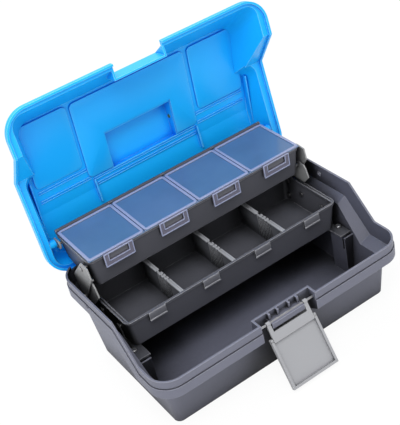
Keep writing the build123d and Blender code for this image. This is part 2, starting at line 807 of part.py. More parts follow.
flap_back = -half_frame - 0.4 - flap_plate
flap_end = flap_start + flap_length
latch_flap = latch_block(-flap_half_x, flap_half_x, frame_length + 0.6, flap_end, flap_back, flap_back + flap_plate)
latch_flap += latch_block(-flap_half_x, flap_half_x, flap_end - flap_rim_width, flap_end,
                          flap_back, flap_back + flap_rim_height)
for side in (-1, 1):
    edge = side * (flap_half_x - flap_rim_width / 2)
    latch_flap += latch_block(edge - flap_rim_width / 2, edge + flap_rim_width / 2, flap_start, flap_end,
                              flap_back, flap_back + flap_rim_height)
latch_flap -= latch_rod(-flap_half_x - 1, flap_half_x + 1, flap_hinge_along, 0.0,
                        latch_pin_radius - 0.4 + pin_clearance)
save("latch_flap", latch_flap)
save("latch_flap_pin", latch_rod(-flap_half_x, flap_half_x, flap_hinge_along, 0.0, latch_pin_radius - 0.4))

# lid, modelled closed and then turned open about its hinge
side_lean = math.tan(math.radians(lid_side_draft))
front_lean = math.tan(math.radians(lid_front_draft))
rear_lean = math.tan(math.radians(lid_rear_draft))
ceiling_lean = math.tan(math.radians(ceiling_slope))
ceiling_flat_z = ceiling_front_z + (ceiling_flat_y - ceiling_front_y) * ceiling_lean


def ceiling_z(y):
    return ceiling_front_z + (min(y, ceiling_flat_y) - ceiling_front_y) * ceiling_lean


def lid_volume(grow):
    top_z = ceiling_flat_z + 20.0
    volumes = []
    for start_z, front_y in ((front_rim_z, lid_rim_front_y), (rear_rim_z, lid_step_y)):
        rise = top_z - start_z
        volumes.append(tapered(
            (lid_rim_inner_x + grow, front_y - grow, lid_rim_rear_y + grow, start_z, lid_corner + grow),
            (lid_rim_inner_x + grow - side_lean * rise, front_y - grow + front_lean * rise,
             lid_rim_rear_y + grow - rear_lean * rise, top_z, lid_corner + grow),
        ))
    shape = volumes[0] + volumes[1]
    return shape & side_prism([
        (-big, -big), (-big, ceiling_z(-big) + grow), (ceiling_flat_y, ceiling_flat_z + grow),
        (big, ceiling_flat_z + grow), (big, -big),
    ])


def above_rim(shape, offset):
    return shape - under_rim(offset)


lid = above_rim(lid_volume(lid_wall), lid_gap)
skirt = band_block(-lid_overhang, 0.0, rear_rim_z + 20.0)
skirt = (skirt & under_rim(lid_gap + lid_flange)) - under_rim(lid_gap - lid_skirt_depth)
skirt -= band_block(-lid_skirt_gap, 0.0, rear_rim_z + 20.0) & under_rim(lid_gap)
lid += skirt
hump_low_z = ceiling_z(hump_front_y) - 1.0
hump_top_z = ceiling_z(hump_rear_y) + hump_height
lid += block(
    -hump_half_x - lid_wall, hump_half_x + lid_wall, hump_front_y - lid_wall, hump_rear_y + lid_wall,
    hump_low_z, hump_top_z,
)
cutout_rear_y = pocket_back_y
cutout = block(-lid_cutout_half_x, lid_cutout_half_x, -big, cutout_rear_y, 0, big)
cutout_room = block(
    -lid_cutout_half_x - lid_wall, lid_cutout_half_x + lid_wall, -big, cutout_rear_y + lid_wall, 0, big,
)
lid -= cutout
lid -= lid_volume(0.0) - cutout_room
lid -= block(-hump_half_x, hump_half_x, hump_front_y, hump_rear_y, hump_low_z - 10, hump_top_z - lid_wall)

for rib_x in (-lid_rib_x, lid_rib_x):
    rib = block(
        rib_x - lid_rib_thickness / 2, rib_x + lid_rib_thickness / 2, lid_rib_front_y, lid_rib_rear_y,
        ceiling_z(lid_rib_front_y) - lid_rib_depth, ceiling_flat_z + lid_wall / 2,
    )
    lid += rib & side_prism([
        (-big, -big), (-big, ceiling_z(-big) + 1.0), (ceiling_flat_y, ceiling_flat_z + 1.0),
        (big, ceiling_flat_z + 1.0), (big, -big),
    ])

# hinge knuckles of the lid, each on a tongue from the rear flange
for side in (-1, 1):
    centre = side * hinge_centre_x
    low_x = centre - lid_knuckle_half
    high_x = centre + lid_knuckle_half
    lid += rod(low_x, high_x, hinge_y, hinge_z, knuckle_radius)
    lid += block(low_x, high_x, hinge_y - knuckle_radius, hinge_y + knuckle_radius, hinge_z,
                 rear_rim_z + lid_gap + 1.0)
    reach = lid_knuckle_half + 1.0
    lid -= rod(centre - reach, centre + reach, hinge_y, hinge_z, hinge_pin_radius + pin_clearance)
    for start in (low_x - knuckle_gap - base_knuckle_length, high_x + knuckle_gap):
        lid -= rod(start - knuckle_gap, start + base_knuckle_length + knuckle_gap, hinge_y, hinge_z,
                   knuckle_radius + 0.6)

# pivot bosses of the lid links, at their closed place
open_turn = math.radians(lid_open_angle)
arm_y = lid_pivot_y - hinge_y
arm_z = lid_pivot_z - hinge_z
closed_pivot_y = hinge_y + arm_y * math.cos(open_turn) - arm_z * math.sin(open_turn)
closed_pivot_z = hinge_z + arm_y * math.sin(open_turn) + arm_z * math.cos(open_turn)
boss_inner_x = lid_link_outer + pin_side_gap
for side in (-1, 1):
    boss = rod(side * boss_inner_x, side * lid_rim_inner_x, closed_pivot_y, closed_pivot_z, lid_boss_radius)
    boss &= lid_volume(lid_wall / 2)
    lid += boss
    lid -= rod(side * (boss_inner_x - 1), side * (lid_rim_inner_x + 10), closed_pivot_y, closed_pivot_z,
               pin_radius + pin_clearance)

handle_pivot_z = ceiling_z(handle_pivot_y) + handle_pivot_rise
lid -= rod(-hump_half_x - 8, hump_half_x + 8, handle_pivot_y, handle_pivot_z, handle_pin_radius + pin_clearance)

hinge_axis = Axis((0, hinge_y, hinge_z), (1, 0, 0))


def open_up(shape):
    return shape.rotate(hinge_axis, -lid_open_angle)


save("lid_shell", open_up(lid))

pins = []
for side in (-1, 1):
    centre = side * hinge_centre_x
    reach = lid_knuckle_half + knuckle_gap + base_knuckle_length + hinge_pin_overhang
    pins.append(rod(centre - reach, centre + reach, hinge_y, hinge_z, hinge_pin_radius))
save("lid_hinge_pins", pins)

# lid links and their screws in the lid; the foot hole is wide, so that the tray's pin has play in it
link_turn = math.radians(lid_link_angle)
link_foot = (
    lid_pivot_y + lid_link_length * math.cos(link_turn),
    lid_pivot_z + lid_link_length * math.sin(link_turn),
)
link_screws = []
for name, side in (("right", 1), ("left", -1)):
    inner_face = min(side * lid_link_x, side * lid_link_outer)
    outer_face = max(side * lid_link_x, side * lid_link_outer)
    link = strap(inner_face, outer_face, (lid_pivot_y, lid_pivot_z), link_foot,
                 play_radius + lid_link_edge, pin_radius + pin_clearance)
    link -= rod(inner_face - 1, outer_face + 1, link_foot[0], link_foot[1], play_radius)
    save("lid_link_" + name, link)
    head_face = lid_link_x - pin_side_gap
    shank = rod(side * head_face, side * (lid_rim_inner_x - 1.0), lid_pivot_y, lid_pivot_z, pin_radius)
    head = rod(side * (head_face - pin_head), side * head_face, lid_pivot_y, lid_pivot_z, pin_head_radius)
    link_screws.append(shank + head)
save("lid_link_screws", link_screws)

# handle: a bail whose arms turn on two pins beside the hump
arm_inner_x = hump_half_x + lid_wall + handle_arm_gap
arm_outer_x = arm_inner_x + handle_arm_width
grip_y = handle_pivot_y + handle_reach
grip_z = handle_pivot_z + handle_rise
handle = rod(-arm_outer_x, arm_outer_x, grip_y, grip_z, handle_grip_radius)
for side in (-1, 1):
    inner_face = min(side * arm_inner_x, side * arm_outer_x)
    outer_face = max(side * arm_inner_x, side * arm_outer_x)
    handle += strap(inner_face, outer_face, (handle_pivot_y, handle_pivot_z), (grip_y, grip_z),
                    handle_arm_height / 2, 0.5)
    handle += rod(inner_face, outer_face, grip_y, grip_z, handle_grip_radius)
    handle -= rod(inner_face - 1, outer_face + 1, handle_pivot_y, handle_pivot_z,
                  handle_pin_radius + pin_clearance)
save("handle", open_up(handle))
handle_pins = []
for side in (-1, 1):
    inner_end = side * (hump_half_x - 1.0)
    outer_end = side * (arm_outer_x + 0.5)
    pin = rod(inner_end, outer_end, handle_pivot_y, handle_pivot_z, handle_pin_radius)
    pin += rod(outer_end, outer_end + side * 1.5, handle_pivot_y, handle_pivot_z, handle_pin_radius + 1.5)
    handle_pins.append(open_up(pin))
save("handle_pins", handle_pins)

print("lower link pivots", base_pivots, tray_pivots)
print("lid pivot closed", closed_pivot_y, closed_pivot_z, "handle pivot", handle_pivot_z)
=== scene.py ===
import math

import bmesh
import bpy
from mathutils import Euler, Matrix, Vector


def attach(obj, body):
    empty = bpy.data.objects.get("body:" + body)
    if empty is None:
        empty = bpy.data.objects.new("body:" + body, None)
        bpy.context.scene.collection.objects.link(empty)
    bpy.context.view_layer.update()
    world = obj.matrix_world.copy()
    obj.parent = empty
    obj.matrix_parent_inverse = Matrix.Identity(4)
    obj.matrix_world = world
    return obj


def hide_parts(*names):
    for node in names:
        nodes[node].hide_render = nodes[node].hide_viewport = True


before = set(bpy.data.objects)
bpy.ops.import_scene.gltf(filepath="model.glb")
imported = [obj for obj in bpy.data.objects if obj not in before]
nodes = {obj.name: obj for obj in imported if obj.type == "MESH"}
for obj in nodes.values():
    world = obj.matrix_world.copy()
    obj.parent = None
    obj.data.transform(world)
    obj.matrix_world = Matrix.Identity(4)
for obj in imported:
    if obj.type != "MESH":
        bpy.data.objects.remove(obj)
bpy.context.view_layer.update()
bpy.ops.object.select_all(action="DESELECT")


# Base tub. One injection moulding in polypropylene, charcoal grey with a violet cast. The tool
# face leaves a fine satin grain. The edges are rounded in the shading and also get a painted
# highlight, and the deep inside gets painted shade. The tone drifts slowly, once in about 70 mm.
plastic_ior = 1.49
drifts_per_metre = 14.0
drift_detail = 3.0
light_samples = 6
shade_below = 0.32
lit_above = 0.66
edge_shown_from = 0.44
edge_full_from = 0.60
edge_turn_from = 0.985
edge_turn_full = 0.86
grain_detail = 2.0
grain_strength = 0.2
grain_depth = 0.00006
sheen_spread = 0.06


def linear(hex_colour):
    """An sRGB hex colour as the linear values that a shader takes."""
    values = []
    for place in (0, 2, 4):
        level = int(hex_colour[place:place + 2], 16) / 255
        if level <= 0.04045:
            values.append(level / 12.92)
        else:
            values.append(((level + 0.055) / 1.055) ** 2.4)
    return (*values, 1.0)


def add(tree, kind, settings, inputs):
    """Adds one node, with its own settings and with a value or another node's output on each input."""
    made = tree.nodes.new(kind)
    for name, value in settings.items():
        setattr(made, name, value)
    for name, value in inputs.items():
        if isinstance(value, bpy.types.NodeSocket):
            tree.links.new(value, made.inputs[name])
        else:
            made.inputs[name].default_value = value
    return made


def moulded_plastic(name, colour, drifted, painted_shade, painted_edge_highlight, roughness, deep, rounding=0.0009, grain=0.0007):
    """Moulded plastic. The colour drifts slowly over the moulding, gets painted shade deep inside it
    and a painted highlight on the rounded edges, and the tool's grain roughens it."""
    material = bpy.data.materials.new(name)
    material.use_nodes = True
    tree = material.node_tree
    shader = tree.nodes["Principled BSDF"]
    shader.inputs["IOR"].default_value = plastic_ior
    place = add(tree, "ShaderNodeTexCoord", {}, {}).outputs["Object"]
    drift = add(tree, "ShaderNodeTexNoise", {},
                {"Vector": place, "Scale": drifts_per_metre, "Detail": drift_detail})
    body = add(tree, "ShaderNodeMix", {"data_type": "RGBA"},
               {"Factor": drift.outputs["Fac"], 6: linear(colour), 7: linear(drifted)})
    # Painted shade: deep inside the moulding the colour is darkened towards the shade colour.
    room = add(tree, "ShaderNodeAmbientOcclusion", {"samples": light_samples}, {"Distance": deep})
    openness = add(tree, "ShaderNodeMapRange", {},
                   {"Value": room.outputs["AO"], "From Min": shade_below, "From Max": lit_above})
    outside = add(tree, "ShaderNodeMapRange", {},
                  {"Value": room.outputs["AO"], "From Min": edge_shown_from, "From Max": edge_full_from})
    shaded = add(tree, "ShaderNodeMix", {"data_type": "RGBA"},
                 {"Factor": openness.outputs["Result"], 6: linear(painted_shade), 7: body.outputs[2]})
    # Painted highlight: on open rounded edges the colour is lightened towards the edge colour.
    rounded = add(tree, "ShaderNodeBevel", {"samples": light_samples}, {"Radius": rounding}).outputs["Normal"]
    flat = add(tree, "ShaderNodeNewGeometry", {}, {}).outputs["True Normal"]
    turn = add(tree, "ShaderNodeVectorMath", {"operation": "DOT_PRODUCT"}, {0: rounded, 1: flat})
    rim = add(tree, "ShaderNodeMapRange", {},
              {"Value": turn.outputs["Value"], "From Min": edge_turn_from, "From Max": edge_turn_full})
    lit_rim = add(tree, "ShaderNodeMath", {"operation": "MULTIPLY"},
                  {0: rim.outputs["Result"], 1: outside.outputs["Result"]})
    finished = add(tree, "ShaderNodeMix", {"data_type": "RGBA"},
                   {"Factor": lit_rim.outputs[0], 6: shaded.outputs[2], 7: linear(painted_edge_highlight)})
    tree.links.new(finished.outputs[2], shader.inputs["Base Color"])
    grains = add(tree, "ShaderNodeTexNoise", {},
                 {"Vector": place, "Scale": 1.0 / grain, "Detail": grain_detail})
    sheen = add(tree, "ShaderNodeMapRange", {},
                {"Value": grains.outputs["Fac"], "To Min": roughness - sheen_spread,
                 "To Max": roughness + sheen_spread})
    tree.links.new(sheen.outputs["Result"], shader.inputs["Roughness"])
    bump = add(tree, "ShaderNodeBump", {},
               {"Height": grains.outputs["Fac"], "Strength": grain_strength, "Distance": grain_depth,
                "Normal": rounded})
    tree.links.new(bump.outputs["Normal"], shader.inputs["Normal"])
    return material


def finish_nodes(names, material):
    """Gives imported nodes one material."""
    for name in names:
        slots = nodes[name].data.materials
        slots.clear()
        slots.append(material)


# In each moulded plastic below, the dark colour is painted shade and the pale colour a painted highlight on
# the edges.
tub_plastic = moulded_plastic("satin_polypropylene_charcoal", colour="5f6170", drifted="676978",
                              painted_shade="0b0b0e", painted_edge_highlight="a8a9b5", roughness=0.5, deep=0.09)
finish_nodes(["base_tub"], tub_plastic)


# Steel pins and screws. Plain zinc-plated wire and screws, drawn bright, with fine marks round
# them. They hold every link, the lid and the latch. The handle's pins are brass-plated. A stain is
# 2.5 mm wide, and a drawn mark 0.3 mm wide and 5 mm long.
stains_per_metre = 400.0
stain_detail = 3.0
drawn_marks_per_metre = (3000.0, 200.0, 200.0)
smoother = 0.08
rougher = 0.1


def drawn_steel(name, colour, stained, roughness):
    """Plated steel, with fine drawn marks and a faint stain."""
    material = bpy.data.materials.new(name)
    material.use_nodes = True
    tree = material.node_tree
    shader = tree.nodes["Principled BSDF"]
    shader.inputs["Metallic"].default_value = 1.0
    place = add(tree, "ShaderNodeTexCoord", {}, {}).outputs["Object"]
    stain = add(tree, "ShaderNodeTexNoise", {},
                {"Vector": place, "Scale": stains_per_metre, "Detail": stain_detail})
    tone = add(tree, "ShaderNodeMix", {"data_type": "RGBA"},
               {"Factor": stain.outputs["Fac"], 6: linear(colour), 7: linear(stained)})
    tree.links.new(tone.outputs[2], shader.inputs["Base Color"])
    stretched = add(tree, "ShaderNodeMapping", {}, {"Vector": place, "Scale": drawn_marks_per_metre})
    marks = add(tree, "ShaderNodeTexNoise", {}, {"Vector": stretched.outputs[0], "Scale": 1.0})
    sheen = add(tree, "ShaderNodeMapRange", {},
                {"Value": marks.outputs["Fac"], "To Min": roughness - smoother,
                 "To Max": roughness + rougher})
    tree.links.new(sheen.outputs["Result"], shader.inputs["Roughness"])
    return material


zinc_steel = drawn_steel("zinc_plated_steel", colour="b4b4b6", stained="8c8c90", roughness=0.34)
finish_nodes(["bracket_screws", "base_link_pins", "lid_hinge_pins", "lid_link_screws", "lower_tray_pins",
              "upper_tray_pins", "tray_lid_pin", "latch_frame_pin", "latch_flap_pin"], zinc_steel)
brass = drawn_steel("brass_plated_steel", colour="b9a45a", stained="8a7a44", roughness=0.38)
finish_nodes(["handle_pins"], brass)

# Side brackets, and the lower links that turn on them. Both are moulded in the same dark grey
# polypropylene as the trays, which gets painted shade, nearly black, deep inside and a thin
# painted highlight along its edges.
tray_plastic = moulded_plastic("satin_polypropylene_dark_grey", colour="4b4c53", drifted="54555d",
                               painted_shade="090a0b", painted_edge_highlight="b4b5bb", roughness=0.48, deep=0.055)
finish_nodes(["bracket_left", "bracket_right", "lower_link_front_left", "lower_link_front_right",
              "lower_link_rear_left", "lower_link_rear_right"], tray_plastic)

# Trays. Two long shallow mouldings with a rim along the top and catch blocks in front. The upper
# tray's three dividers stand under its lids, in the same plastic.
finish_nodes(["lower_tray", "upper_tray", "upper_divider_left", "upper_divider_middle",
              "upper_divider_right"], tray_plastic)

# Dividers of the lower tray. Each is a thin moulded wall with a broad grooved bar on its top edge,
# four notches in the bar and slots down both faces for short cross plates.
divider_pitch = 0.0754
divider_wall = 0.0016
divider_bottom_z = 0.0646
divider_top_z = 0.0995
divider_front_y = -0.0092
divider_rear_y = 0.0876
divider_taper = 0.0037
foot_below_z = 0.07
divider_middle_y = 0.04
bar_width = 0.0052
bar_height = 0.0022
bar_setback = 0.0004
bar_groove = 0.0012
bar_groove_depth = 0.0007
notched_from_y = 0.0226
notched_to_y = 0.0472
notch_pitch = 0.0062
notch_width = 0.0022
slot_rib_from_y = 0.0190
slot_rib_pitch = 0.0036
slot_rib_width = 0.0013
slot_rib_half = 0.0017
slot_ribs = 8
divider_rounding = 0.00025
painted_lit_top_from_z = 0.0968
corner_segments = 5
rounding_segments = 2
smooth_below_angle = 0.6
cut_past_bar = 0.001


def recolour(material, axis, level, colour, side="GREATER_THAN"):
    """Gives a material another colour on one side of a level along one axis, in object coordinates."""
    tree = material.node_tree
    base = tree.nodes["Principled BSDF"].inputs["Base Color"]
    place = add(tree, "ShaderNodeTexCoord", {}, {}).outputs["Object"]
    apart = add(tree, "ShaderNodeSeparateXYZ", {}, {0: place})
    beyond = add(tree, "ShaderNodeMath", {"operation": side}, {0: apart.outputs[axis], 1: level})
    mixed = add(tree, "ShaderNodeMix", {"data_type": "RGBA"},
                {"Factor": beyond.outputs[0], 6: base.links[0].from_socket, 7: linear(colour)})
    tree.links.new(mixed.outputs[2], base)


def pick(kind, test):
    """In edit mode, selects the edges or faces that pass a test, and nothing else."""
    bpy.ops.mesh.select_mode(type=kind)
    bpy.ops.mesh.select_all(action="DESELECT")
    mesh = bmesh.from_edit_mesh(bpy.context.object.data)
    for part in (mesh.edges if kind == "EDGE" else mesh.faces):
        if test(part):
            part.select_set(True)
    mesh.select_flush_mode()
    bmesh.update_edit_mesh(bpy.context.object.data)


def block(name, low, high, corner=0.0, axis=2):
    """A block between two points, with its four corners along one axis rounded."""
    bpy.ops.object.select_all(action="DESELECT")
    middle = [(a + b) / 2 for a, b in zip(low, high)]
    bpy.ops.mesh.primitive_cube_add(size=1.0, location=middle)
    piece = bpy.context.object
    piece.name = name
    piece.scale = [b - a for a, b in zip(low, high)]
    bpy.ops.object.transform_apply(location=True, rotation=False, scale=True)
    if corner:
        bpy.ops.object.mode_set(mode="EDIT")
        pick("EDGE", lambda e: abs((e.verts[0].co - e.verts[1].co).normalized()[axis]) > 0.9)
        bpy.ops.mesh.bevel(offset=corner, segments=corner_segments, affect="EDGES")
        bpy.ops.object.mode_set(mode="OBJECT")
    return piece


def cut_away(piece, cutter):
    """Cuts one block out of a piece, and removes the cutter."""
    cut = piece.modifiers.new("cut", "BOOLEAN")
    cut.operation = "DIFFERENCE"
    cut.object = cutter
    bpy.context.view_layer.objects.active = piece
    bpy.ops.object.modifier_apply(modifier=cut.name)
    bpy.data.objects.remove(cutter, do_unlink=True)


def join(name, pieces):
    """Makes one object of several."""
    bpy.ops.object.select_all(action="DESELECT")
    for piece in pieces:
        piece.select_set(True)
    bpy.context.view_layer.objects.active = pieces[0]
    bpy.ops.object.join()
    joined = bpy.context.object
    joined.name = name
    return joined


def soften(piece, width):
    """Rounds the sharp edges of a piece, as its mould does."""
    rounding = piece.modifiers.new("rounding", "BEVEL")
    rounding.width = width
    rounding.segments = rounding_segments
    rounding.limit_method = "ANGLE"
    bpy.ops.object.select_all(action="DESELECT")
    piece.select_set(True)
    bpy.context.view_layer.objects.active = piece
    bpy.ops.object.modifier_apply(modifier=rounding.name)
    bpy.ops.object.shade_smooth_by_angle(angle=smooth_below_angle)


def copies(first, names, pitch):
    """Copies a finished piece in a row along X, each copy with its own mesh, and removes the first."""
    row = []
    for number, name in enumerate(names):
        copy = bpy.data.objects.new(name, first.data.copy())
        bpy.context.collection.objects.link(copy)
        for vertex in copy.data.vertices:
            vertex.co.x += (number - (len(names) - 1) / 2) * pitch
        row.append(copy)
    bpy.data.objects.remove(first, do_unlink=True)
    return row


def dress(piece, material, body):
    """Gives a piece its material and the body that it moves with."""
    piece.data.materials.clear()
    piece.data.materials.append(material)
    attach(piece, body)


def bar(low_y, high_y):
    """One length of the broad bar, with the groove along its middle."""
    low_z = divider_top_z - bar_height
    length = block("bar", (-bar_width / 2, low_y, low_z), (bar_width / 2, high_y, divider_top_z))
    groove = block("groove", (-bar_groove / 2, low_y - cut_past_bar, divider_top_z - bar_groove_depth),
                   (bar_groove / 2, high_y + cut_past_bar, divider_top_z + cut_past_bar))
    cut_away(length, groove)
    return length


divider_plastic = moulded_plastic("satin_polypropylene_mid_grey", colour="5a5c62", drifted="62646a",
                                  painted_shade="141517", painted_edge_highlight="c0c2c6", roughness=0.45, deep=0.04)
# Painted highlight: the divider is painted lighter above this level, where its top bar faces the light.
recolour(divider_plastic, 2, painted_lit_top_from_z, "93959a")
wall = block("wall", (-divider_wall / 2, divider_front_y, divider_bottom_z),
             (divider_wall / 2, divider_rear_y, divider_top_z - bar_height / 2))
bpy.ops.object.mode_set(mode="EDIT")
for end in (-1, 1):
    pick("EDGE", lambda e: all(v.co.z < foot_below_z and (v.co.y - divider_middle_y) * end > 0
                               for v in e.verts))
    bpy.ops.transform.translate(value=(0.0, -end * divider_taper, 0.0))
bpy.ops.object.mode_set(mode="OBJECT")
lengths = [wall]
lengths.append(bar(divider_front_y + bar_setback, notched_from_y))
lengths.append(bar(notched_to_y, divider_rear_y - bar_setback))
tooth_y = notched_from_y + notch_width
while tooth_y + notch_pitch - notch_width < notched_to_y:
    lengths.append(bar(tooth_y, tooth_y + notch_pitch - notch_width))
    tooth_y += notch_pitch
for number in range(slot_ribs):
    rib_y = slot_rib_from_y + number * slot_rib_pitch
    lengths.append(block("slot_rib", (-slot_rib_half, rib_y, divider_bottom_z),
                         (slot_rib_half, rib_y + slot_rib_width, divider_top_z - bar_height)))
first_divider = join("divider_master", lengths)
soften(first_divider, divider_rounding)
divider_nodes = ["lower_divider_left", "lower_divider_middle", "lower_divider_right"]
dressed_dividers = copies(first_divider, ["dressed_" + node for node in divider_nodes], divider_pitch)
for dressed, node in zip(dressed_dividers, divider_nodes):
    dress(dressed, divider_plastic, "lower_tray")
    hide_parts(node)

# Catches on the trays' front rims. Each is a small block with a rolled lip along its foot. The
# upper tray's stand in the windows of the lid tabs.
lower_catch_pitch = 0.076
lower_catch_half = 0.0115
lower_catch_back_y = -0.0135
lower_catch_face_y = -0.01445
lower_catch_lip_y = -0.0153
lower_catch_low_z = 0.0893
lower_catch_lip_z = 0.0915
lower_catch_top_z = 0.1010
lip_corner = 0.0008
face_inset = 0.0001
moulded_rounding = 0.0003
lid_pitch = 0.077
upper_catch_half = 0.0125
upper_catch_back_y = 0.0483
upper_catch_face_y = 0.04765
upper_catch_low_z = 0.1488
upper_catch_top_z = 0.1562
upper_catch_corner = 0.0004
# The catches are the trays' plastic in a lighter grey: a painted highlight where their front faces catch the
# light.
lit_catch_plastic = moulded_plastic("satin_polypropylene_catch_painted_lit_grey", colour="5e5f66", drifted="66676e",
                                painted_shade="141517", painted_edge_highlight="bcbdc2", roughness=0.45, deep=0.03)
foot = block("foot", (-lower_catch_half, lower_catch_lip_y, lower_catch_low_z),
             (lower_catch_half, lower_catch_back_y, lower_catch_lip_z), lip_corner, 0)
face_half = lower_catch_half - face_inset
face = block("face", (-face_half, lower_catch_face_y, lower_catch_low_z),
             (face_half, lower_catch_back_y, lower_catch_top_z))
first_catch = join("first_catch", [foot, face])
soften(first_catch, moulded_rounding)
catch_names = ["lower_tray_catch_lip_" + str(number) for number in (1, 2, 3, 4)]
for lip in copies(first_catch, catch_names, lower_catch_pitch):
    dress(lip, lit_catch_plastic, "lower_tray")
first_strip = block("first_strip", (-upper_catch_half, upper_catch_face_y, upper_catch_low_z),
                    (upper_catch_half, upper_catch_back_y, upper_catch_top_z), upper_catch_corner, 0)
strip_names = ["upper_tray_catch_lip_" + str(number) for number in (1, 2, 3, 4)]
for strip in copies(first_strip, strip_names, lid_pitch):
    dress(strip, lit_catch_plastic, "upper_tray")

# Small lids of the upper tray. Clear tinted polystyrene plates with a raised rim round the top, a
# snap tab in front with a window for its catch, and a hinge barrel behind, which is grey.
lid_seam = 0.0008
lid_front_y = 0.0483
lid_back_y = 0.1276
lid_top_z = 0.1592
rim_inset = 0.0002
rim_sunk = 0.0002
rim_width = 0.0034
rim_height = 0.0011
rim_corner = 0.0045
tab_half = 0.020
tab_face_y = 0.0460
tab_low_z = 0.1407
tab_rim_width = 0.0016
tab_corner = 0.001
window_half = 0.01325
window_low_z = 0.1485
window_high_z = 0.1572
window_rim_width = 0.0013
bead = 0.0006
smallest_corner = 0.0004
cut_past_rim = 0.002
tab_before_y = 0.0480
barrel_behind_y = 0.1284
sheet_rounding = 0.0008
rim_rounding = 0.0006
sheet_grain = 0.004


def ring(name, low, high, width, corner, axis):
    """A raised rim: a flat block with its middle cut out along one axis."""
    outer = block(name, low, high, corner, axis)
    inner_low = [value if place == axis else value + width for place, value in enumerate(low)]
    inner_high = [value if place == axis else value - width for place, value in enumerate(high)]
    inner_low[axis] -= cut_past_rim
    inner_high[axis] += cut_past_rim
    cut_away(outer, block("middle", inner_low, inner_high, max(corner - width, smallest_corner), axis))
    return outer


clear_lid = moulded_plastic("tinted_clear_polystyrene", colour="446182", drifted="5f7da2", painted_shade="33507c",
                            painted_edge_highlight="b0bad8", roughness=0.2, deep=0.02, rounding=sheet_rounding,
                            grain=sheet_grain)
recolour(clear_lid, 1, tab_before_y, "6f6e7e", "LESS_THAN")
recolour(clear_lid, 1, barrel_behind_y, "4b4b54")
finish_nodes(["tray_lid_1", "tray_lid_2", "tray_lid_3", "tray_lid_4"], clear_lid)
rim_plastic = moulded_plastic("tinted_clear_polystyrene_rim", colour="8a91b0", drifted="9aa1bd",
                              painted_shade="5d6580", painted_edge_highlight="c0c5de", roughness=0.22, deep=0.01,
                              rounding=rim_rounding, grain=sheet_grain)
lid_half = (lid_pitch - lid_seam) / 2
top_rim = ring("top_rim", (-lid_half + rim_inset, lid_front_y - rim_inset, lid_top_z - rim_sunk),
               (lid_half - rim_inset, lid_back_y, lid_top_z + rim_height), rim_width, rim_corner, 2)
tab_rim = ring("tab_rim", (-tab_half, tab_face_y - bead, tab_low_z),
               (tab_half, tab_face_y + rim_sunk, lid_top_z), tab_rim_width, tab_corner, 1)
window_rim_half = window_half + window_rim_width
window_rim = ring("window_rim", (-window_rim_half, tab_face_y - bead, window_low_z - window_rim_width),
                  (window_rim_half, tab_face_y + rim_sunk, window_high_z + window_rim_width),
                  window_rim_width, tab_corner, 1)
first_rim = join("first_rim", [top_rim, tab_rim, window_rim])
soften(first_rim, moulded_rounding)
rim_names = ["tray_lid_rim_" + str(number) for number in (1, 2, 3, 4)]
for number, rim in enumerate(copies(first_rim, rim_names, lid_pitch)):
    dress(rim, rim_plastic, "tray_lid_" + str(number + 1))

# Upper links and lid links. Kite-shaped plates between the trays and narrow straps from the upper
# tray to the lid, moulded in a lighter grey polypropylene and held by the steel pins.
link_plastic = moulded_plastic("satin_polypropylene_light_grey", colour="8a8b8c", drifted="939495",
                               painted_shade="3c3c40", painted_edge_highlight="b9babb", roughness=0.48, deep=0.02)
finish_nodes(["upper_link_outer_left", "upper_link_outer_right", "upper_link_inner_left",
              "upper_link_inner_right", "lid_link_left", "lid_link_right"], link_plastic)

# Lid shell. One injection moulding in bright blue polypropylene, glossier than the tub. Three flat
# pads stand up from its ceiling, with ribs between them and along both sides.
ceiling_y = 0.1593
pad_height = 0.0024
pad_corner = 0.006
pad_rounding = 0.0005
left_pad_x = (-0.1510, -0.0870)
left_pad_z = (0.2060, 0.2920)
right_pad_x = (0.0850, 0.1545)
right_pad_z = (0.2040, 0.2910)
middle_pad_x = (-0.0825, 0.0790)
middle_pad_z = (0.1870, 0.2910)
hump_half = 0.0480
hump_low_z = 0.1700
hump_high_z = 0.2365
cut_past_pad = 0.01
flat_rib_height = 0.0012
flat_rib_width = 0.0011
flat_rib_step = 0.0032
outer_rib_spans = ((-0.1500, -0.0800), (0.0800, 0.1530))
outer_rib_levels = (0.1970, 0.1840)
middle_rib_span = (-0.0760, 0.0760)
middle_rib_levels = (0.1800, 0.1720)
side_rib_outer_x = 0.1592
side_rib_inner_x = 0.1577
side_rib_low_y = 0.1500
side_rib_z = (0.1520, 0.2210)
side_rib_corner = 0.0012
lid_plastic = moulded_plastic("gloss_polypropylene_blue", colour="0caafa", drifted="18b4ff",
                              painted_shade="0878e0", painted_edge_highlight="9ae8ff", roughness=0.34, deep=0.022,
                              rounding=0.0010, grain=0.001)
lid_plastic.node_tree.nodes["Principled BSDF"].inputs["Specular IOR Level"].default_value = 0.3
finish_nodes(["lid_shell"], lid_plastic)


def pad(name, span_x, span_z):
    """A flat pad on the ceiling, with rounded corners."""
    return block(name, (span_x[0], ceiling_y - pad_height, span_z[0]), (span_x[1], ceiling_y, span_z[1]),
                 pad_corner, 1)


